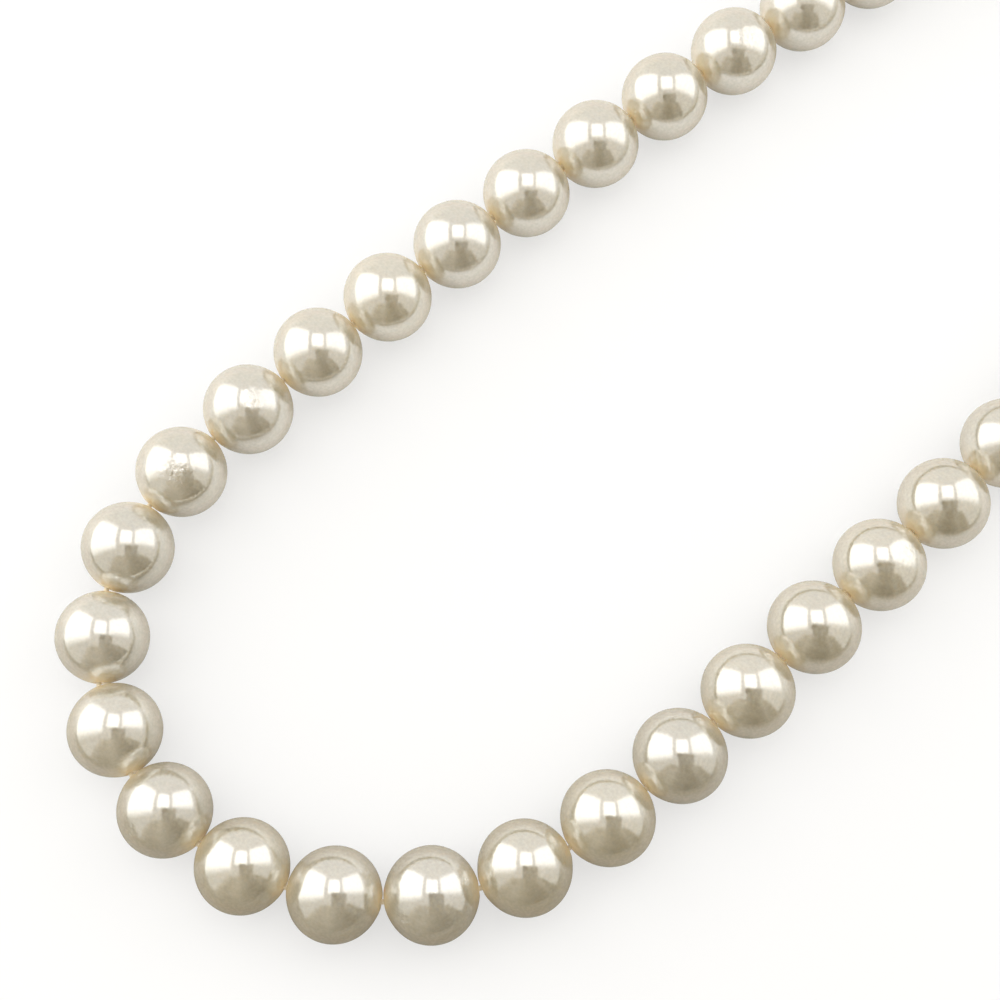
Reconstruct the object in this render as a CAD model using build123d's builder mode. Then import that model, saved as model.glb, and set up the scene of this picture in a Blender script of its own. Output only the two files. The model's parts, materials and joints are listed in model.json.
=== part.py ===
from build123d import *
import os
from math import cos, radians, sin, sqrt

# A single strand of round pearls on one cord, laid unfastened on a table as a U.
# Millimetres. +Z up, the table is z = 0, and the origin is the point of the table at the
# middle of the strand's whole footprint. The front pearl is at the U's -Y end. The right arm
# runs along +Y and ends in a lobster clasp; the left arm leans in a little and ends in a
# figure-eight tag.

# pearls
pearl_diameter = 8.6
pearl_gap = 0.07  # clear space between neighbours along the line of their centres
pearls_per_arm = 23  # on each side of the front pearl
drill_diameter = 1.0
drill_chamfer = 0.18  # of the drilled hole's mouth, as wide as it is deep

# lay of the strand: degrees that it turns at each gap, counted from the front pearl outwards
right_turns = [19, 17, 16, 16, 13, 6]
left_turns = [23, 24, 23, 17, 7] + 8 * [1]
right_arm_heading = 90

# cord and its end knots
cord_diameter = 0.5
cord_bend_radius = 6.0
cord_end_past_knot = 0.35
knot_thread_diameter = 0.42
knot_turns = 2
knot_turn_gap = 0.04
knot_clearance = 0.05  # between the wraps and the cord inside them

# bead tips: hollow cups that hold the knots
tip_droop = 24.0  # degrees below level, from the end pearl down to the ring
tip_radius = 1.5
tip_wall = 0.2
tip_gap = 0.2  # from the end pearl's surface to the tip's pivot, and from the pivot to the cup
tip_cord_hole_diameter = 0.9
tip_seam = 0.08  # slit between the two half shells
tip_loop_radius = 1.15  # to the middle of the loop's wire
tip_loop_wire = 0.56

# jump rings, standing on edge on the table
ring_radius = 2.3  # to the middle of the wire
ring_wire = 0.7
ring_split = 0.06
table_clearance = 0.02

# lobster clasp, lying flat
clasp_tail_hole_shift = 1.65  # from the ring's centre to the tail eye's centre
clasp_height = 1.4  # of its middle plane above the table
clasp_thickness = 2.4
clasp_edge_fillet = 0.35
tail_eye_radius = 1.6
tail_hole_radius = 1.0
tail_thickness = 1.0
neck_width = 2.2
claw_centre = 6.0  # from the tail eye's centre
claw_half_length = 4.6
claw_half_width = 3.0
mouth_centre = 6.3
mouth_half_length = 2.9
mouth_half_width = 1.5

# the clasp's lever, its pin and its spring
lever_pivot = (3.35, 1.75)  # along and across the clasp, from the tail eye's centre
lever_thickness = 1.3
lever_boss_radius = 0.95
lever_play = 0.06  # between the lever and the body, on every side
lever_side = 0.55  # how far across the clasp the opening for the lever starts
lever_start = 4.0
nose_face = 9.1  # along the clasp, where the lever's tip meets the nose
lever_knob_along = 4.6
lever_knob_radius = 0.75
pin_radius = 0.35
pin_fit = 0.02
lever_hole_radius = 0.4
spring_wire = 0.14
spring_coil_radius = 0.55
spring_pitch = 0.18
spring_turns = 3
spring_room_radius = 0.68
spring_room_depth = 0.75

# figure-eight end tag, one end in the ring and the other on the table
tag_thickness = 0.8
tag_ring_hole_radius = 1.0
tag_clasp_hole_radius = 1.6
tag_rim = 0.75
tag_hole_spacing = 3.9
tag_waist = 1.6
tag_slope = 9.0  # degrees
tag_edge_fillet = 0.15
tag_hole_shift = 1.75  # from the ring's centre to the centre of the tag's hole for it
tag_hole_height = 1.42

pearl_radius = pearl_diameter / 2
pitch = pearl_diameter + pearl_gap
front_heading = right_arm_heading - sum(right_turns)
tip_pivot_place = pearl_radius + tip_gap  # from the end pearl's centre
cup_place = tip_gap + tip_radius  # from the tip's pivot to the cup's centre
loop_place = tip_radius - tip_wall / 2 + tip_loop_radius + tip_loop_wire / 2
ring_height = ring_radius + ring_wire / 2 + table_clearance
knot_length = knot_turns * (knot_thread_diameter + knot_turn_gap)
clasp_reach = clasp_tail_hole_shift + claw_centre + claw_half_length  # past the ring's centre
vertical = Vector(0, 0, 1)

os.makedirs("parts", exist_ok=True)


def level_direction(heading):
    """The level unit vector at a heading in degrees, counted from +X towards +Y."""
    return Vector(cos(radians(heading)), sin(radians(heading)), 0)


def tilted(direction, droop):
    """A level unit vector turned down by droop degrees."""
    return direction * cos(radians(droop)) - vertical * sin(radians(droop))


def walk(front_centre, turns, side):
    """Pivots, centres, headings and turns of one arm's gaps and pearls, from the front outwards.

    The pivot of a gap is where the two neighbours' hole axes meet, the same distance from both.
    side is 1 for the right arm and -1 for the left, whose pearls come before the front pearl.
    """
    centre = front_centre
    heading = front_heading
    stations = []
    for turn in turns + (pearls_per_arm - len(turns)) * [0]:
        reach = side * pitch / 2 / cos(radians(turn / 2))
        pivot = centre + level_direction(heading) * reach
        heading += side * turn
        centre = pivot + level_direction(heading) * reach
        stations.append((pivot, centre, heading, turn))
    return stations


def end_places(station, side):
    """Where the hardware of one arm's end lies, and the directions along and across it."""
    _, centre, heading, _ = station
    outward = level_direction(heading) * side
    down = tilted(outward, tip_droop)
    pivot = centre + outward * tip_pivot_place
    cup = pivot + down * cup_place
    loop = cup + down * loop_place
    drop = ring_height - loop.Z
    return {
        "outward": outward,
        "across": vertical.cross(outward),
        "down": down,
        "pivot": pivot,
        "cup": cup,
        "loop": loop,
        "ring": loop + outward * sqrt(ring_radius**2 - drop**2) + vertical * drop,
        "cord_end": cup + down * (knot_length / 2 + cord_end_past_knot),
    }


def footprint_middle():
    """The middle of the strand's footprint when the front pearl stands over the origin."""
    front_centre = Vector(0, 0, pearl_radius)
    left = walk(front_centre, left_turns, -1)
    right = walk(front_centre, right_turns, 1)
    centres = [station[1] for station in left + right]
    west = min(centre.X for centre in centres) - pearl_radius
    east = max(centre.X for centre in centres) + pearl_radius
    south = -pearl_radius
    north = end_places(right[-1], 1)["ring"].Y + clasp_reach
    return Vector((west + east) / 2, (south + north) / 2, 0)


front_centre = Vector(0, 0, pearl_radius) - footprint_middle()
left_arm = walk(front_centre, left_turns, -1)
right_arm = walk(front_centre, right_turns, 1)
front_station = (None, front_centre, front_heading, 0)
strand = left_arm[::-1] + [front_station] + right_arm
left_end = end_places(left_arm[-1], -1)
right_end = end_places(right_arm[-1], 1)

# ---- pearls: a ball turned about its hole axis, with a chamfer at both mouths of the hole

drill_radius = drill_diameter / 2
mouth_radius = drill_radius + drill_chamfer
mouth_place = sqrt(pearl_radius**2 - mouth_radius**2)

for number, (_, centre, heading, _) in enumerate(strand, start=1):
    hole_axis = level_direction(heading)
    pearl_plane = Plane(origin=centre, x_dir=hole_axis, z_dir=vertical)
    with BuildPart() as pearl:
        with BuildSketch(pearl_plane):
            with BuildLine():
                ThreePointArc(
                    (-mouth_place, mouth_radius), (0, pearl_radius), (mouth_place, mouth_radius)
                )
                Polyline(
                    (mouth_place, mouth_radius),
                    (mouth_place - drill_chamfer, drill_radius),
                    (drill_chamfer - mouth_place, drill_radius),
                    (-mouth_place, mouth_radius),
                )
            make_face()
        revolve(axis=Axis(centre, hole_axis))
    pearl.part.label = f"pearl_{number:02d}"
    export_step(pearl.part, f"parts/pearl_{number:02d}.step")


# ---- cord: one round cord, straight through each hole and curved at each gap that turns

left_bends = [pivot for pivot, _, _, turn in left_arm if turn]
right_bends = [pivot for pivot, _, _, turn in right_arm if turn]

with BuildPart() as cord:
    with BuildLine() as cord_path:
        FilletPolyline(
            left_end["cord_end"],
            left_end["pivot"],
            *left_bends[::-1],
            *right_bends,
            right_end["pivot"],
            right_end["cord_end"],
            radius=cord_bend_radius,
        )
    with BuildSketch(Plane(origin=cord_path.line @ 0, z_dir=cord_path.line % 0)):
        Circle(cord_diameter / 2)
    sweep()
cord.part.label = "cord"
export_step(cord.part, "parts/cord.step")

# ---- knots, bead tips and jump rings, one of each at both ends

knot_radius = (cord_diameter + knot_thread_diameter) / 2 + knot_clearance

for name, end in (("left", left_end), ("right", right_end)):
    with BuildPart() as knot:
        with BuildLine() as wraps:
            Helix(
                pitch=knot_length / knot_turns,
                height=knot_length,
                radius=knot_radius,
                center=end["cup"] - end["down"] * (knot_length / 2),
                direction=end["down"],
            )
        with BuildSketch(Plane(origin=wraps.line @ 0, z_dir=wraps.line % 0)):
            Circle(knot_thread_diameter / 2)
        sweep(is_frenet=True)
    knot.part.label = f"knot_{name}"
    export_step(knot.part, f"parts/knot_{name}.step")

    tip_plane = Plane(
        origin=end["cup"], x_dir=end["down"], z_dir=end["down"].cross(end["across"])
    )
    with BuildPart(tip_plane) as bead_tip:
        Sphere(tip_radius)
        with Locations((loop_place, 0, 0)):
            Torus(tip_loop_radius, tip_loop_wire / 2)
        Sphere(tip_radius - tip_wall, mode=Mode.SUBTRACT)
        with Locations((-tip_radius, 0, 0)):
            Cylinder(
                tip_cord_hole_diameter / 2, tip_radius, rotation=(0, 90, 0), mode=Mode.SUBTRACT
            )
        with Locations((-tip_radius / 2, 0, 0)):
            Box(2 * tip_radius, 3 * tip_radius, tip_seam, mode=Mode.SUBTRACT)
    bead_tip.part.label = f"bead_tip_{name}"
    export_step(bead_tip.part, f"parts/bead_tip_{name}.step")

    ring_plane = Plane(origin=end["ring"], x_dir=end["outward"], z_dir=end["across"])
    with BuildPart(ring_plane) as jump_ring:
        Torus(ring_radius, ring_wire / 2)
        with Locations((0, -ring_radius, 0)):
            Box(ring_split, 2 * ring_wire, 2 * ring_wire, mode=Mode.SUBTRACT)
    jump_ring.part.label = f"jump_ring_{name}"
    export_step(jump_ring.part, f"parts/jump_ring_{name}.step")

# ---- lobster clasp on the right ring

clasp_origin = right_end["ring"] + right_end["outward"] * clasp_tail_hole_shift
clasp_origin.Z = clasp_height
clasp_plane = Plane(origin=clasp_origin, x_dir=right_end["outward"], z_dir=vertical)
pivot_along, pivot_across = lever_pivot
cheek_end = pivot_along + lever_boss_radius
slot_thickness = lever_thickness + 2 * lever_play


def claw_band():
    """The clasp's oval outline with its oval mouth cut out, as a sketch of the open block."""
    with Locations((claw_centre, 0)):
        Ellipse(claw_half_length, claw_half_width)
    with Locations((mouth_centre, 0)):
        Ellipse(mouth_half_length, mouth_half_width, mode=Mode.SUBTRACT)


def side_window(start, end, inner_side, mode):
    """A rectangle from start to end along the clasp and from inner_side outwards across it."""
    with Locations(((start + end) / 2, inner_side + claw_half_width)):
        Rectangle(end - start, 2 * claw_half_width, mode=mode)


with BuildPart() as clasp_body:
    with BuildSketch(clasp_plane):
        claw_band()
    extrude(amount=clasp_thickness / 2, both=True)
    fillet(clasp_body.edges().group_by(Axis.Z)[0], clasp_edge_fillet)
    fillet(clasp_body.edges().group_by(Axis.Z)[-1], clasp_edge_fillet)
    with BuildSketch(clasp_plane):
        Circle(tail_eye_radius)
        with Locations((tail_eye_radius, 0)):
            Rectangle(neck_width, neck_width)
        Circle(tail_hole_radius, mode=Mode.SUBTRACT)
    extrude(amount=tail_thickness / 2, both=True)
    # the lever's side is open through the whole thickness beyond the cheeks,
    # and slotted between the cheeks
    with BuildSketch(clasp_plane):
        side_window(cheek_end, nose_face, lever_side, Mode.ADD)
    extrude(amount=clasp_thickness, both=True, mode=Mode.SUBTRACT)
    with BuildSketch(clasp_plane):
        with Locations(lever_pivot):
            Circle(lever_boss_radius + lever_play)
        side_window(pivot_along, nose_face, lever_side, Mode.ADD)
    extrude(amount=slot_thickness / 2, both=True, mode=Mode.SUBTRACT)
    with BuildSketch(clasp_plane):
        with Locations(lever_pivot):
            Circle(pin_radius + pin_fit)
    extrude(amount=clasp_thickness, both=True, mode=Mode.SUBTRACT)
clasp_body.part.label = "clasp_body"
export_step(clasp_body.part, "parts/clasp_body.step")

with BuildPart() as clasp_lever:
    with BuildSketch(clasp_plane):
        claw_band()
        side_window(lever_start, nose_face - lever_play, lever_side + lever_play, Mode.INTERSECT)
        with Locations(lever_pivot):
            Circle(lever_boss_radius)
        with Locations((lever_knob_along, claw_half_width)):
            Circle(lever_knob_radius)
    extrude(amount=lever_thickness / 2, both=True)
    with BuildSketch(clasp_plane):
        with Locations(lever_pivot):
            Circle(lever_hole_radius)
    extrude(amount=lever_thickness, both=True, mode=Mode.SUBTRACT)
    with BuildSketch(clasp_plane.offset(-lever_thickness / 2)):
        with Locations(lever_pivot):
            Circle(spring_room_radius)
    extrude(amount=spring_room_depth, mode=Mode.SUBTRACT)
clasp_lever.part.label = "clasp_lever"
export_step(clasp_lever.part, "parts/clasp_lever.step")

with BuildPart() as lever_pin:
    with BuildSketch(clasp_plane):
        with Locations(lever_pivot):
            Circle(pin_radius)
    extrude(amount=clasp_thickness / 2, both=True)
lever_pin.part.label = "lever_pin"
export_step(lever_pin.part, "parts/lever_pin.step")

spring_height = spring_turns * spring_pitch
spring_foot = clasp_plane.from_local_coords(
    Vector(pivot_along, pivot_across, (spring_wire - lever_thickness) / 2)
)
with BuildPart() as lever_spring:
    with BuildLine() as coil:
        Helix(pitch=spring_pitch, height=spring_height, radius=spring_coil_radius, center=spring_foot)
    with BuildSketch(Plane(origin=coil.line @ 0, z_dir=coil.line % 0)):
        Circle(spring_wire / 2)
    sweep(is_frenet=True)
lever_spring.part.label = "lever_spring"
export_step(lever_spring.part, "parts/lever_spring.step")

# ---- figure-eight tag on the left ring

tag_down = tilted(left_end["outward"], tag_slope)
tag_origin = left_end["ring"] + left_end["outward"] * tag_hole_shift
tag_origin.Z = tag_hole_height
tag_plane = Plane(origin=tag_origin, x_dir=tag_down, z_dir=tag_down.cross(left_end["across"]))

with BuildPart() as end_tag:
    with BuildSketch(tag_plane):
        Circle(tag_ring_hole_radius + tag_rim)
        with Locations((tag_hole_spacing / 2, 0)):
            Rectangle(tag_hole_spacing, tag_waist)
        with Locations((tag_hole_spacing, 0)):
            Circle(tag_clasp_hole_radius + tag_rim)
    extrude(amount=tag_thickness / 2, both=True)
    fillet(end_tag.faces().filter_by(tag_plane).edges(), tag_edge_fillet)
    with BuildSketch(tag_plane):
        Circle(tag_ring_hole_radius)
        with Locations((tag_hole_spacing, 0)):
            Circle(tag_clasp_hole_radius)
    extrude(amount=tag_thickness, both=True, mode=Mode.SUBTRACT)
end_tag.part.label = "end_tag"
export_step(end_tag.part, "parts/end_tag.step")
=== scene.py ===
"""A strand of pearls on silk with a lobster clasp: its looks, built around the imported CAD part."""

import json
import math

import bpy
import numpy as np
from mathutils import Matrix, Vector


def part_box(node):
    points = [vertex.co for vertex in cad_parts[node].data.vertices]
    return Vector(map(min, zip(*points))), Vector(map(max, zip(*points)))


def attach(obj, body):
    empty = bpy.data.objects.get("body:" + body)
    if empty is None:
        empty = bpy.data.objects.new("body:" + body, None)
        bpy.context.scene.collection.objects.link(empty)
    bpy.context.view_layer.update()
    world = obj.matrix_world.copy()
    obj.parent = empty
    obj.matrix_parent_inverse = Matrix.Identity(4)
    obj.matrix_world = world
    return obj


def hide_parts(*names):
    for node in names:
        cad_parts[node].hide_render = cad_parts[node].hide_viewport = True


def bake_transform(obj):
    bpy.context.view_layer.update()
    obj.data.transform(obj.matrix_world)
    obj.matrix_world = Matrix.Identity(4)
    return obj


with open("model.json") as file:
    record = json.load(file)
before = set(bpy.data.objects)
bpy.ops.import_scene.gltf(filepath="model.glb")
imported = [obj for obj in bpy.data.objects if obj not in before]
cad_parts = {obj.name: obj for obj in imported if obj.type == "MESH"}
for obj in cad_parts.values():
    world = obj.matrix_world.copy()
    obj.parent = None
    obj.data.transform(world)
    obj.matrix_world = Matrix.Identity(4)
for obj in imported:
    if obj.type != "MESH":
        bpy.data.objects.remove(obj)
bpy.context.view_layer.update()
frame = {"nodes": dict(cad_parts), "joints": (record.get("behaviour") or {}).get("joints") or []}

MM = 0.001
WHITE = (1.0, 1.0, 1.0)

# Pearls
PEARL_COUNT = 47
FRONT_PEARL = 24
DRILL_RADIUS = 0.5 * MM
MOUTH_ROUNDING = 0.18 * MM
PEARL_SEGMENTS = 96
PEARL_RINGS = 72
MOUTH_STEPS = 3
TUBE_STEPS = 6

# Uneven skin: number of waves, their mean depth, and the slowest and quickest phase turned per radius
LUMPS = (7, 0.028 * MM, 0.6, 2.2)
RIPPLES = (9, 0.0035 * MM, 5.0, 9.0)

# Width across the hole, in diameters
PLUMPNESS = 1.008
PLUMPER = 1.025
PLUMPER_PEARLS = range(27, 34)

# Blemished pearls: where the wrinkles are as (right, ahead, up) from the pearl's middle, and how many
# radians they spread over
WRINKLES = {
    12: ((0.27, -0.12, 0.95), 0.22),
    19: ((0.27, 0.0, 0.96), 0.22),
    20: ((0.05, -0.3, 0.95), 0.32),
    24: ((-0.6, -0.5, 0.75), 0.18),
    27: ((-0.6, -0.5, 0.75), 0.16),
    33: ((0.35, 0.1, 0.93), 0.22),
}

# Nacre: colours are (position, colour) stops, and patterns have a size and a depth
NACRE_BODY = (
    (0.3, (0.34, 0.304, 0.222)),
    (0.5, (0.375, 0.336, 0.247)),
    (0.72, (0.415, 0.374, 0.285)),
)
NACRE_SPECKLE = ((0.35, (0.9, 0.89, 0.86)), (0.65, (1.08, 1.08, 1.08)))
NACRE_SPECKLE_SHARE = 0.8
NACRE_ORIENT = (
    (0.0, WHITE),
    (0.35, (0.985, 1.0, 0.98)),
    (0.6, (1.0, 0.965, 0.95)),
    (0.82, (0.95, 0.985, 0.95)),
    (1.0, (0.93, 0.9, 0.95)),
)
NACRE_ROUGHNESS = (0.1, 0.17)
NACRE_IOR = 2.5
NACRE_SUBSURFACE = 0.85
NACRE_SUBSURFACE_REACH = 2.6 * MM
NACRE_SUBSURFACE_COLOURS = (1.0, 0.8, 0.55)
CLOUDS = (3.1 * MM, 0.02 * MM)
MOTTLE = (0.8 * MM, 0.006 * MM)
GRAIN = (0.3 * MM, 0.0016 * MM)
CREASES = (0.6 * MM, 0.17 * MM)

# Each pearl's own tint
TINT_SEED = 1000
TINT_BRIGHTNESS = (0.96, 1.03)
TINT_MORE_RED = 0.012
TINT_LESS_BLUE = 0.04

# Painted glow round the drill holes, over a share of the radius: a lighter, warmer colour and a faint
# emission
MOUTH_GLOW_REACH = 0.6
MOUTH_GLOW_FALL = 1.4
MOUTH_PAINTED_GLOW_BASE = (0.74, 0.62, 0.41)
MOUTH_GLOW_COLOUR = (1.0, 0.84, 0.58)
MOUTH_GLOW = 0.1
MOUTH_GLOW_POWER = 3.0

# Silk cord
CORD_RADIUS = 0.25 * MM
CORD_PLIES = 3
CORD_PLY_GROOVE = 0.16
CORD_TWIST_LENGTH = 1.3 * MM
CORD_SIDES = 24
CORD_STEP = 0.22 * MM
SILK_THREAD = ((0.3, (0.74, 0.63, 0.43)), (0.7, (0.93, 0.86, 0.7)))
SILK_SHADE = ((0.3, (0.85, 0.82, 0.76)), (0.7, WHITE))
SILK_SHADE_SHARE = 0.4
SILK_SHADE_SIZE = 0.9 * MM
SILK_ROUGHNESS = (0.42, 0.62)
SILK_SHEEN = 0.5
SILK_SHEEN_ROUGHNESS = 0.35
FILAMENTS = (0.06 * MM, 0.02 * MM)

# Silver: the clasp and the tag are smoothed like castings
CAST_GRID = 0.065 * MM
CAST_SMOOTHING = 0.5
CAST_SMOOTHING_STEPS = 12
SILVER = ((0.3, (0.5, 0.48, 0.45)), (0.65, (0.7, 0.69, 0.67)))
SILVER_PATCH_SIZE = 1.4 * MM
SILVER_ROUGHNESS = (0.12, 0.34)
SILVER_IN_HOLLOWS = ((0.3, (0.3, 0.27, 0.23)), (0.9, WHITE))
HOLLOW_SHARE = 0.9
HOLLOW_REACH = 0.7 * MM
HAIRLINES = (0.045 * MM, 0.0015 * MM)
HAIRLINE_SQUEEZE = (1.0, 0.12, 1.0)
EDGE_ROUNDING = 0.09 * MM
EDGE_SAMPLES = 8

# Spring wire
STEEL = ((0.3, (0.42, 0.41, 0.4)), (0.7, (0.66, 0.65, 0.63)))
STEEL_ROUGHNESS = (0.25, 0.42)
DRAWN_MARKS = (0.08 * MM, 0.002 * MM)

# Camera, measured from the front pearl along the table
LENS_MM = 57.8
SENSOR_MM = 36.0
AIM_FROM_FRONT_PEARL = Vector((-1.26, 42.36, 0.0)) * MM
CAMERA_DISTANCE = 155.8 * MM
CAMERA_ELEVATION = math.radians(76.9)
CAMERA_HEADING = math.radians(136.4)
CAMERA_ROLL = math.radians(0.8)
CAMERA_NEAREST = 1 * MM
CAMERA_FURTHEST = 20.0

# Studio lights. Places are (right, ahead, up) from the aim point as the camera sees them, and lengths
# are in millimetres. edges are the shares of the width and the height over which the light fades.
SOFTBOXES = {
    "softbox_left": dict(
        place=(-265, 115, 211), size=(520, 470), towards=(17, 115, 59), edges=(0.25, 0.05), radiance=1.16
    ),
    "softbox_right": dict(
        place=(267, 150, 238), size=(400, 400), towards=(-16, 150, 90), edges=(0.25, 0.05), radiance=0.98
    ),
    "softbox_roof": dict(
        place=(16, 125, 424), size=(235, 330), towards=(16, 105, 0), edges=(0.08, 0.22), radiance=1.24
    ),
}
SOFTBOX_COLOUR = (1.0, 0.985, 0.955)
LIGHT_WATTS_PER_RADIANCE = 4.0

# Dark cards that only reflections show, placed like the lights and shaded across their width
CARDS = {
    "lens_front": dict(
        place=(0, -37, 160),
        size=(34, 24),
        towards=(0, 0, 0),
        stops=((0.0, (0.02, 0.02, 0.02)), (1.0, (0.02, 0.02, 0.02))),
    ),
    "hands": dict(
        place=(46, -70, 190),
        size=(130, 100),
        towards=(46, -50, 0),
        stops=((0.0, (0.34, 0.335, 0.32)), (1.0, (0.34, 0.335, 0.32))),
    ),
    "chest": dict(
        place=(28, -118, 96),
        size=(280, 190),
        towards=(28, 0, 96),
        stops=(
            (0.0, (0.5, 0.46, 0.39)),
            (0.16, (0.3, 0.27, 0.22)),
            (0.3, (0.36, 0.33, 0.27)),
            (0.38, (0.2, 0.18, 0.14)),
            (0.52, (0.07, 0.058, 0.04)),
            (0.66, (0.09, 0.077, 0.056)),
            (0.73, (0.27, 0.25, 0.21)),
            (0.82, (0.16, 0.145, 0.11)),
            (1.0, (0.3, 0.27, 0.22)),
        ),
    ),
}
CARD_ROUGHNESS = 0.9

# Walls as reflections show them, blending where a direction's part ahead is within this of zero
WALL_BACK = (1.12, 1.11, 1.09)
WALL_FRONT = (0.9, 0.87, 0.8)
WALL_BLEND = 0.3
BACKDROP_SEEN = (0.91, 0.91, 0.91)

# Table: one paper that the camera sees, and one that lights the pearls, darker on the camera's side
FLOOR_SIZE = 8.0
FLOOR_ROUGHNESS = 0.8
FLOOR_LIFT = 0.56
FLOOR_SEEN = ((0.3, (0.3, 0.3, 0.3)), (0.7, (0.31, 0.31, 0.31)))
FLOOR_MOTTLE_SIZE = 60 * MM
FLOOR_WHITE = (0.82, 0.82, 0.82)
FLOOR_SHADED = (0.24, 0.215, 0.17)
FLOOR_SHADE_FROM = 0.0
FLOOR_SHADE_TO = -50.0


# ---------------------------------------------------------------- places taken from the frame


def pearl_name(number):
    """Name of a pearl's CAD node."""
    return f"pearl_{number:02d}"


def body_name(number):
    """Name of the body a pearl rides on."""
    return f"bead_{number:02d}"


def middle(node):
    """Middle of a CAD node's box."""
    low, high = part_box(node)
    return (low + high) / 2


def joint_place(name):
    """The point on a joint's axis that the record gives."""
    found = next(j for j in frame["joints"] if j["name"] == name)
    return Vector(found["pos_m"])


def gap_place(number):
    """Hinge point between a pearl and the next one; 0 and PEARL_COUNT are the bead tips' hinges."""
    if number == 0:
        return joint_place("bead_tip_left_lift")
    if number == PEARL_COUNT:
        return joint_place("bead_tip_right_lift")
    return joint_place(f"gap_{number:02d}")


# ---------------------------------------------------------------- node helpers


class Nodes:
    """Short calls for building a node tree."""

    def __init__(self, tree):
        self.tree = tree
        tree.nodes.clear()

    def add(self, kind, **values):
        """A node of this kind, with its properties and its input values set by name."""
        node = self.tree.nodes.new(kind)
        for key, value in values.items():
            if hasattr(node, key):
                setattr(node, key, value)
            else:
                node.inputs[key.replace("_", " ")].default_value = value
        return node

    def link(self, source, target):
        """Joins an output socket to an input socket."""
        self.tree.links.new(source, target)

    def feed(self, socket, value):
        """Gives an input socket a value, a colour or another node's output."""
        if hasattr(value, "links"):
            self.link(value, socket)
        elif isinstance(value, tuple):
            socket.default_value = (*value, 1.0)
        else:
            socket.default_value = value

    def place(self):
        """The point's place on its object, in metres."""
        return self.add("ShaderNodeTexCoord").outputs["Object"]

    def attribute(self, name):
        """A number stored on the mesh's points, or 0 where the mesh has none."""
        return self.add("ShaderNodeAttribute", attribute_name=name).outputs["Fac"]

    def seen(self):
        """1 where the camera looks straight at the surface, and 0 for light that bounces."""
        return self.add("ShaderNodeLightPath").outputs["Is Camera Ray"]

    def reach(self, vector, direction):
        """How far a vector reaches along a direction."""
        node = self.add("ShaderNodeVectorMath", operation="DOT_PRODUCT")
        self.link(vector, node.inputs[0])
        node.inputs[1].default_value = direction
        return node.outputs["Value"]

    def ramp(self, value, stops):
        """Colour ramp over (position, colour) stops."""
        node = self.add("ShaderNodeValToRGB")
        elements = node.color_ramp.elements
        while len(elements) < len(stops):
            elements.new(1.0)
        for element, (position, colour) in zip(elements, stops):
            element.position = position
            element.color = (*colour, 1.0)
        self.link(value, node.inputs["Fac"])
        return node.outputs["Color"]

    def mix(self, kind, amount, first, second):
        """Mixes two colours; amount and colours are values or sockets."""
        node = self.add("ShaderNodeMix", data_type="RGBA", blend_type=kind)
        for socket, value in zip((node.inputs[0], node.inputs[6], node.inputs[7]), (amount, first, second)):
            self.feed(socket, value)
        return node.outputs[2]

    def maths(self, operation, first, second):
        """One sum over two values or sockets."""
        node = self.add("ShaderNodeMath", operation=operation)
        for socket, value in zip(node.inputs, (first, second)):
            self.feed(socket, value)
        return node.outputs[0]

    def between(self, value, **limits):
        """Maps one range of values on to another, each 0..1 where no From_ or To_ limit is given."""
        node = self.add("ShaderNodeMapRange", **limits)
        self.link(value, node.inputs["Value"])
        return node.outputs["Result"]

    def scale(self, value, low, high):
        """Maps 0..1 on to low..high."""
        return self.between(value, To_Min=low, To_Max=high)

    def edge_fade(self, value, edge):
        """0 at both ends of 0..1 and 1 between them, rising smoothly over a share of the length."""
        inside = self.maths("MINIMUM", value, self.maths("SUBTRACT", 1.0, value))
        return self.between(inside, interpolation_type="SMOOTHSTEP", From_Max=edge)

    def noise(self, place, size, detail=3.0):
        """Noise whose features are about `size` metres across."""
        node = self.add("ShaderNodeTexNoise", Scale=1.0 / size, Detail=detail)
        self.link(place, node.inputs["Vector"])
        return node.outputs["Fac"]

    def bump(self, height, depth, below=None):
        """Bump of `depth` metres from a 0..1 height, on top of the relief below it."""
        node = self.add("ShaderNodeBump", Distance=depth, Strength=1.0)
        self.link(height, node.inputs["Height"])
        if below is not None:
            self.link(below, node.inputs["Normal"])
        return node.outputs["Normal"]


def new_material(name, **values):
    """A node material, its helper, and the inputs of its Principled shader, set by name."""
    material = bpy.data.materials.new(name)
    material.use_nodes = True
    nodes = Nodes(material.node_tree)
    shader = nodes.add("ShaderNodeBsdfPrincipled", **values)
    output = nodes.add("ShaderNodeOutputMaterial")
    nodes.link(shader.outputs["BSDF"], output.inputs["Surface"])
    return material, nodes, shader.inputs


# ---------------------------------------------------------------- materials


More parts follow.
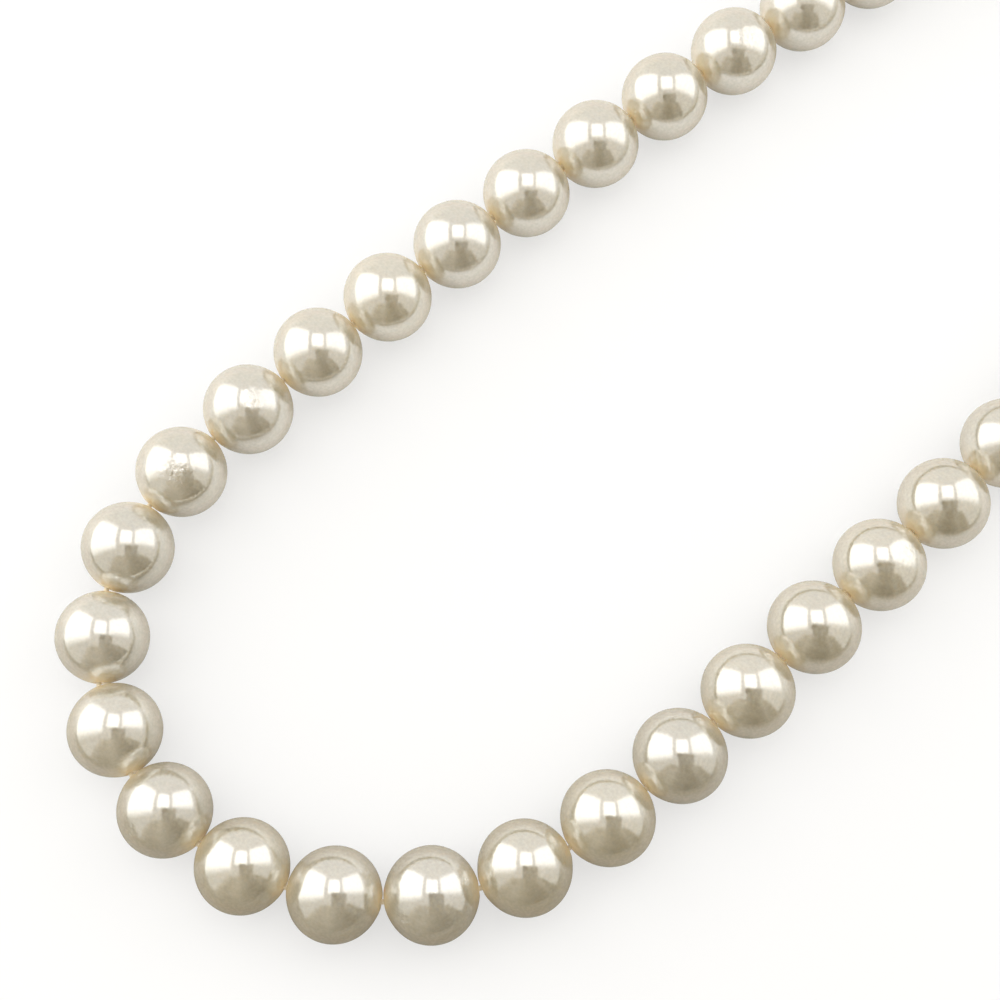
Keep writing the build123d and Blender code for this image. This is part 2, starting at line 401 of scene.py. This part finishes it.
def nacre_material():
    """Cream nacre: warm body colour under a strong white lustre with a faint rose and green orient."""
    material, nodes, surface = new_material(
        "nacre",
        IOR=NACRE_IOR,
        Specular_IOR_Level=1.0,
        Subsurface_Weight=NACRE_SUBSURFACE,
        Subsurface_Radius=NACRE_SUBSURFACE_COLOURS,
        Subsurface_Scale=NACRE_SUBSURFACE_REACH,
        Emission_Color=(*MOUTH_GLOW_COLOUR, 1.0),
    )
    place = nodes.place()
    tint = nodes.add("ShaderNodeObjectInfo").outputs["Color"]
    mouth = nodes.attribute("painted_mouth_glow")
    clouds = nodes.noise(place, CLOUDS[0])
    mottle = nodes.noise(place, MOTTLE[0])
    grain = nodes.noise(place, GRAIN[0], detail=5.0)
    creases = nodes.noise(place, CREASES[0], detail=4.0)
    facing = nodes.add("ShaderNodeLayerWeight", Blend=0.5).outputs["Facing"]

    body = nodes.mix("MULTIPLY", 1.0, nodes.ramp(clouds, NACRE_BODY), tint)
    body = nodes.mix("MULTIPLY", NACRE_SPECKLE_SHARE, body, nodes.ramp(grain, NACRE_SPECKLE))
    # Painted glow: near the drill holes the colour turns lighter and warmer, and the nacre gives off a faint
    # light
    nodes.link(nodes.mix("MIX", mouth, body, MOUTH_PAINTED_GLOW_BASE), surface["Base Color"])
    glow = nodes.maths("POWER", mouth, MOUTH_GLOW_POWER)
    nodes.link(nodes.scale(glow, 0.0, MOUTH_GLOW), surface["Emission Strength"])
    nodes.link(nodes.ramp(facing, NACRE_ORIENT), surface["Specular Tint"])
    nodes.link(nodes.scale(clouds, *NACRE_ROUGHNESS), surface["Roughness"])

    relief = nodes.bump(grain, GRAIN[1])
    relief = nodes.bump(mottle, MOTTLE[1], relief)
    relief = nodes.bump(clouds, CLOUDS[1], relief)
    creases = nodes.mix("MULTIPLY", 1.0, nodes.attribute("wrinkled"), creases)
    nodes.link(nodes.bump(creases, CREASES[1], relief), surface["Normal"])
    return material


def silk_material():
    """Pale silk thread with fine filaments and a soft sheen."""
    material, nodes, surface = new_material(
        "silk_thread", Sheen_Weight=SILK_SHEEN, Sheen_Roughness=SILK_SHEEN_ROUGHNESS
    )
    place = nodes.place()
    filaments = nodes.noise(place, FILAMENTS[0], detail=4.0)
    shade = nodes.ramp(nodes.noise(place, SILK_SHADE_SIZE), SILK_SHADE)
    colour = nodes.mix("MULTIPLY", SILK_SHADE_SHARE, nodes.ramp(filaments, SILK_THREAD), shade)
    nodes.link(colour, surface["Base Color"])
    nodes.link(nodes.scale(filaments, *SILK_ROUGHNESS), surface["Roughness"])
    nodes.link(nodes.bump(filaments, FILAMENTS[1]), surface["Normal"])
    return material


def silver_material():
    """Polished white metal with hairline scratches, dull patches and darker hollows."""
    material, nodes, surface = new_material("polished_silver", Metallic=1.0)
    place = nodes.place()
    squeezed = nodes.add("ShaderNodeMapping", Scale=HAIRLINE_SQUEEZE)
    nodes.link(place, squeezed.inputs["Vector"])
    hairlines = nodes.noise(squeezed.outputs["Vector"], HAIRLINES[0], detail=6.0)
    patches = nodes.noise(place, SILVER_PATCH_SIZE, detail=4.0)
    open_sky = nodes.add("ShaderNodeAmbientOcclusion", Distance=HOLLOW_REACH, inside=False).outputs["AO"]
    hollow = nodes.ramp(open_sky, SILVER_IN_HOLLOWS)
    colour = nodes.mix("MULTIPLY", HOLLOW_SHARE, nodes.ramp(patches, SILVER), hollow)
    nodes.link(colour, surface["Base Color"])
    nodes.link(nodes.scale(patches, *SILVER_ROUGHNESS), surface["Roughness"])
    edge = nodes.add("ShaderNodeBevel", samples=EDGE_SAMPLES, Radius=EDGE_ROUNDING).outputs["Normal"]
    nodes.link(nodes.bump(hairlines, HAIRLINES[1], edge), surface["Normal"])
    return material


def steel_material():
    """Drawn steel wire: darker and rougher than the silver."""
    material, nodes, surface = new_material("spring_wire", Metallic=1.0)
    drawn = nodes.noise(nodes.place(), DRAWN_MARKS[0], detail=5.0)
    nodes.link(nodes.ramp(drawn, STEEL), surface["Base Color"])
    nodes.link(nodes.scale(drawn, *STEEL_ROUGHNESS), surface["Roughness"])
    nodes.link(nodes.bump(drawn, DRAWN_MARKS[1]), surface["Normal"])
    return material


# ---------------------------------------------------------------- meshes


def in_scene(name, data):
    """A new object in the scene."""
    made = bpy.data.objects.new(name, data)
    bpy.context.scene.collection.objects.link(made)
    return made


def mesh_object(name, points, faces, material):
    """A smooth-shaded mesh object in the scene."""
    mesh = bpy.data.meshes.new(name)
    mesh.from_pydata([tuple(p) for p in points], [], faces)
    mesh.update()
    mesh.shade_smooth()
    mesh.materials.append(material)
    return in_scene(name, mesh)


def sheet(name, half_width, half_height, material):
    """A flat rectangle about the origin, facing up."""
    signs = ((-1, -1), (1, -1), (1, 1), (-1, 1))
    points = [(right * half_width, ahead * half_height, 0) for right, ahead in signs]
    return mesh_object(name, points, [(0, 1, 2, 3)], material)


def store(made, name, values):
    """Stores one number for each point of an object's mesh."""
    attribute = made.data.attributes.new(name, "FLOAT", "POINT")
    attribute.data.foreach_set("value", values.astype(np.float32))


def across(direction):
    """Two unit vectors at right angles to a direction, the first one level."""
    level = Vector((direction.y, -direction.x, 0.0)).normalized()
    return level, direction.cross(level).normalized()


def ring_faces(rings, sides, closed):
    """Quads between neighbouring rings of `sides` points; closed joins the last ring to the first."""
    faces = []
    for ring in range(rings if closed else rings - 1):
        above = (ring + 1) % rings
        for side in range(sides):
            after = (side + 1) % sides
            below = (ring * sides + side, ring * sides + after)
            faces.append((*below, above * sides + after, above * sides + side))
    return faces


def pearl_outline(radius):
    """(along, out, skin) round the drilled pearl's section: from mouth to mouth, then back up the hole.

    skin is 1 on the nacre, falling to 0 at the rounded mouth and in the hole, where no lumps are added."""
    mouth_out = DRILL_RADIUS + MOUTH_ROUNDING
    mouth_angle = math.asin(mouth_out / radius)
    outline = []
    for ring in range(PEARL_RINGS):
        angle = mouth_angle + (math.pi - 2 * mouth_angle) * ring / (PEARL_RINGS - 1)
        skin = min(1.0, (math.sin(angle) * radius - mouth_out) / (2 * DRILL_RADIUS))
        outline.append((radius * math.cos(angle), radius * math.sin(angle), skin))
    tube_end = radius * math.cos(mouth_angle) - MOUTH_ROUNDING
    arc = []
    for step in range(1, MOUTH_STEPS + 1):
        turn = math.pi / 2 * step / MOUTH_STEPS
        along = tube_end + MOUTH_ROUNDING * math.cos(turn)
        arc.append((along, mouth_out - MOUTH_ROUNDING * math.sin(turn)))
    outline += [(-along, out, 0.0) for along, out in arc]
    for step in range(1, TUBE_STEPS):
        outline.append((-tube_end + 2 * tube_end * step / TUBE_STEPS, DRILL_RADIUS, 0.0))
    outline += [(along, out, 0.0) for along, out in reversed(arc)]
    return np.array(outline)


def wavy_depth(points, radius, seed):
    """How far each skin point lies under the true ball: slow lumps and finer ripples, always inwards."""
    chance = np.random.default_rng(seed)
    depth = np.zeros(len(points))
    for waves, mean_depth, slowest, quickest in (LUMPS, RIPPLES):
        for _ in range(waves):
            direction = chance.normal(size=3)
            direction *= chance.uniform(slowest, quickest) / (np.linalg.norm(direction) * radius)
            phase = chance.uniform(0, 2 * math.pi)
            depth += mean_depth / waves * (1 + np.cos(points @ direction + phase))
    return depth


def wrinkle_share(points, place, spread):
    """How wrinkled each point is: 1 at the place, fading out over the spread in radians."""
    towards = studio_direction(*place).normalized()
    facing = points @ np.array(towards) / np.linalg.norm(points, axis=1)
    return np.exp(-((np.arccos(np.clip(facing, -1, 1)) / spread) ** 2))


def pearl_tint(number):
    """A pearl's own tint: a little brighter or duller, warmer or cooler."""
    chance = np.random.default_rng(TINT_SEED + number)
    warm = chance.uniform(-1, 1)
    bright = chance.uniform(*TINT_BRIGHTNESS)
    return (bright * (1 + TINT_MORE_RED * warm), bright, bright * (1 - TINT_LESS_BLUE * warm), 1.0)


def pearl(number, material):
    """One drilled pearl: turned about its hole, then made slightly uneven."""
    name = pearl_name(number)
    low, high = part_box(name)
    radius = (high.z - low.z) / 2
    axis = (gap_place(number) - gap_place(number - 1)).normalized()
    level, upright = across(axis)
    outline = pearl_outline(radius)
    along, out, skin = outline.T
    turns = np.arange(PEARL_SEGMENTS) * 2 * math.pi / PEARL_SEGMENTS
    around = np.outer(np.cos(turns), level) + np.outer(np.sin(turns), upright)
    points = along[:, None, None] * np.array(axis) + out[:, None, None] * around
    points = points.reshape(-1, 3)
    depth = wavy_depth(points, radius, seed=number) * np.repeat(skin, PEARL_SEGMENTS)
    points *= (1 - depth / radius)[:, None]
    plump = PLUMPER if number in PLUMPER_PEARLS else PLUMPNESS
    points += np.outer(points @ np.array(level) * (plump - 1), level)
    faces = ring_faces(len(outline), PEARL_SEGMENTS, True)
    made = mesh_object(f"pearl_skin_{number:02d}", points, faces, material)
    made.location = middle(name)
    made.color = pearl_tint(number)
    # Share of the painted glow at each point, highest at the drill hole
    from_hole = (np.repeat(out, PEARL_SEGMENTS) - DRILL_RADIUS) / (MOUTH_GLOW_REACH * radius)
    store(made, "painted_mouth_glow", np.clip(1 - from_hole, 0, 1) ** MOUTH_GLOW_FALL)
    if number in WRINKLES:
        store(made, "wrinkled", wrinkle_share(points, *WRINKLES[number]))
    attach(made, body_name(number))
    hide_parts(name)


def thread(name, start, bend, end, material):
    """Twisted three-ply silk from start to end by way of bend, closed at both ends."""
    points = []
    travelled = 0.0
    for first, last in ((start, bend), (bend, end)):
        run = last - first
        steps = max(2, round(run.length / CORD_STEP))
        level, upright = across(run.normalized())
        for step in range(steps + 1 if last is end else steps):
            centre = first + run * step / steps
            twist = 2 * math.pi * (travelled + run.length * step / steps) / CORD_TWIST_LENGTH
            for side in range(CORD_SIDES):
                angle = 2 * math.pi * side / CORD_SIDES
                groove = CORD_PLY_GROOVE * (1 - abs(math.cos(CORD_PLIES / 2 * (angle - twist))))
                radius = CORD_RADIUS * (1 - groove)
                points.append(centre + level * radius * math.cos(angle) + upright * radius * math.sin(angle))
        travelled += run.length
    rings = len(points) // CORD_SIDES
    faces = ring_faces(rings, CORD_SIDES, False)
    faces.append(tuple(range(CORD_SIDES))[::-1])
    faces.append(tuple(range((rings - 1) * CORD_SIDES, rings * CORD_SIDES)))
    made = mesh_object(name, points, faces, material)
    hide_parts("cord")
    return made


def cord(material):
    """The silk from knot to knot, one length for each gap, each bent at its gap's hinge point."""
    numbers = range(1, PEARL_COUNT + 1)
    stops = [middle("knot_left"), *(middle(pearl_name(k)) for k in numbers), middle("knot_right")]
    for gap in range(PEARL_COUNT + 1):
        bend = gap_place(gap)
        made = thread(f"cord_{gap:02d}", stops[gap], bend, stops[gap + 1], material)
        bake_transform(made)


def casting(node, body, material):
    """A CAD node's shape remeshed and smoothed like a polished casting, shown in its place."""
    source = frame["nodes"][node]
    made = in_scene(f"cast_{node}", source.data.copy())
    made.matrix_world = source.matrix_world
    grid = made.modifiers.new("grid", "REMESH")
    grid.mode = "VOXEL"
    grid.voxel_size = CAST_GRID
    grid.use_smooth_shade = True
    smoothing = made.modifiers.new("smoothing", "SMOOTH")
    smoothing.factor = CAST_SMOOTHING
    smoothing.iterations = CAST_SMOOTHING_STEPS
    bpy.context.view_layer.update()
    shaped = made.evaluated_get(bpy.context.evaluated_depsgraph_get())
    cast = bpy.data.meshes.new_from_object(shaped)
    made.modifiers.clear()
    made.data = cast
    cast.materials.clear()
    cast.materials.append(material)
    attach(made, body)
    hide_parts(node)


def dress(node, material):
    """Gives a CAD node its finished material."""
    made = frame["nodes"][node]
    made.data.materials.clear()
    made.data.materials.append(material)


# ---------------------------------------------------------------- studio


def heading():
    """Level direction in which the camera looks."""
    return Vector((math.cos(CAMERA_HEADING), math.sin(CAMERA_HEADING), 0.0))


def aim_point():
    """The point on the table that the camera looks at."""
    front = middle(pearl_name(FRONT_PEARL))
    return Vector((front.x, front.y, 0.0)) + AIM_FROM_FRONT_PEARL


def studio_direction(right, ahead, up):
    """A direction given by its parts to the camera's right, ahead along the table, and up."""
    ahead_level = heading()
    right_level = Vector((ahead_level.y, -ahead_level.x, 0.0))
    return right_level * right + ahead_level * ahead + Vector((0, 0, up))


def studio_place(right, ahead, up):
    """A point given in millimetres from the aim point, by the same three parts."""
    return aim_point() + studio_direction(right, ahead, up) * MM


def turned(place, towards, face):
    """Rotation that points an object's `face` axis from its place towards a point."""
    return (towards - place).to_track_quat(face, "Y")


def camera():
    """The camera at the photograph's viewing angle."""
    data = bpy.data.cameras.new("camera")
    data.lens = LENS_MM
    data.sensor_width = SENSOR_MM
    data.clip_start = CAMERA_NEAREST
    data.clip_end = CAMERA_FURTHEST
    made = in_scene("camera", data)
    away = CAMERA_DISTANCE / MM
    made.location = studio_place(0, -away * math.cos(CAMERA_ELEVATION), away * math.sin(CAMERA_ELEVATION))
    look = turned(made.location, aim_point(), "-Z").to_matrix().to_4x4()
    made.rotation_euler = (look @ Matrix.Rotation(CAMERA_ROLL, 4, "Z")).to_euler()
    bpy.context.scene.camera = made


def softbox(name, place, size, towards, edges, radiance):
    """A rectangular light with soft edges that the camera doesn't see directly."""
    width, height = (side * MM for side in size)
    data = bpy.data.lights.new(name, "AREA")
    data.shape = "RECTANGLE"
    data.size = width
    data.size_y = height
    data.color = SOFTBOX_COLOUR
    data.energy = radiance * LIGHT_WATTS_PER_RADIANCE * width * height
    data.use_nodes = True
    nodes = Nodes(data.node_tree)
    across_light = nodes.add("ShaderNodeSeparateXYZ")
    nodes.link(nodes.add("ShaderNodeNewGeometry").outputs["Parametric"], across_light.inputs[0])
    fall = [nodes.edge_fade(across_light.outputs[side], edge) for side, edge in zip("XY", edges)]
    shine = nodes.add("ShaderNodeEmission")
    nodes.link(nodes.maths("MULTIPLY", *fall), shine.inputs["Strength"])
    output = nodes.add("ShaderNodeOutputLight")
    nodes.link(shine.outputs["Emission"], output.inputs["Surface"])
    made = in_scene(name, data)
    made.location = studio_place(*place)
    made.rotation_euler = turned(made.location, studio_place(*towards), "-Z").to_euler()
    made.visible_camera = False


def dark_card(name, place, size, towards, stops):
    """A matt card that only reflections show."""
    half_width, half_height = (side * MM / 2 for side in size)
    material, nodes, surface = new_material(name, Roughness=CARD_ROUGHNESS)
    across_card = nodes.add("ShaderNodeSeparateXYZ")
    nodes.link(nodes.place(), across_card.inputs[0])
    position = nodes.between(across_card.outputs["X"], From_Min=half_width, From_Max=-half_width)
    nodes.link(nodes.ramp(position, stops), surface["Base Color"])
    made = sheet(name, half_width, half_height, material)
    made.location = studio_place(*place)
    made.rotation_euler = turned(made.location, studio_place(*towards), "Z").to_euler()
    made.visible_camera = False
    made.visible_diffuse = False
    made.visible_shadow = False


def floor():
    """A plain white table top. What the camera sees is lifted so that the shadows stay faint."""
    material, nodes, surface = new_material(
        "white_table", Roughness=FLOOR_ROUGHNESS, Emission_Color=(*WHITE, 1.0)
    )
    place = nodes.place()
    seen = nodes.seen()
    near, far = studio_place(0, FLOOR_SHADE_TO, 0), studio_place(0, FLOOR_SHADE_FROM, 0)
    ahead = (far - near).normalized()
    shade = nodes.between(nodes.reach(place, ahead), From_Min=near.dot(ahead), From_Max=far.dot(ahead))
    shaded = nodes.ramp(shade, ((0.0, FLOOR_SHADED), (1.0, FLOOR_WHITE)))
    paper = nodes.ramp(nodes.noise(place, FLOOR_MOTTLE_SIZE), FLOOR_SEEN)
    nodes.link(nodes.mix("MIX", seen, shaded, paper), surface["Base Color"])
    nodes.link(nodes.scale(seen, 0.0, FLOOR_LIFT), surface["Emission Strength"])
    sheet("floor", FLOOR_SIZE / 2, FLOOR_SIZE / 2, material)


def surroundings():
    """Pale surroundings: bright behind the strand, dimmer on the camera's side."""
    world = bpy.data.worlds.new("studio")
    bpy.context.scene.world = world
    world.use_nodes = True
    nodes = Nodes(world.node_tree)
    direction = nodes.add("ShaderNodeTexCoord").outputs["Generated"]
    side = nodes.between(nodes.reach(direction, heading()), From_Min=-WALL_BLEND, From_Max=WALL_BLEND)
    walls = nodes.ramp(side, ((0.0, WALL_FRONT), (1.0, WALL_BACK)))
    background = nodes.add("ShaderNodeBackground")
    nodes.link(nodes.mix("MIX", nodes.seen(), walls, BACKDROP_SEEN), background.inputs["Color"])
    output = nodes.add("ShaderNodeOutputWorld")
    nodes.link(background.outputs["Background"], output.inputs["Surface"])


def studio():
    """Floor, surroundings, softboxes, and the dark shapes that stand round a camera."""
    floor()
    surroundings()
    for name, setting in SOFTBOXES.items():
        softbox(name, **setting)
    for name, setting in CARDS.items():
        dark_card(name, **setting)
    bpy.context.scene.view_settings.view_transform = "Standard"


# ---------------------------------------------------------------- the whole scene


def necklace():
    """Every visible piece of the strand."""
    nacre = nacre_material()
    silk = silk_material()
    silver = silver_material()
    steel = steel_material()
    for number in range(1, PEARL_COUNT + 1):
        pearl(number, nacre)
    cord(silk)
    for side in ("left", "right"):
        dress(f"knot_{side}", silk)
        dress(f"bead_tip_{side}", silver)
        dress(f"jump_ring_{side}", silver)
    for node, body in (("clasp_body", "clasp"), ("clasp_lever", "lever"), ("end_tag", "tag")):
        casting(node, body, silver)
    dress("lever_pin", silver)
    dress("lever_spring", steel)


necklace()
camera()
studio()
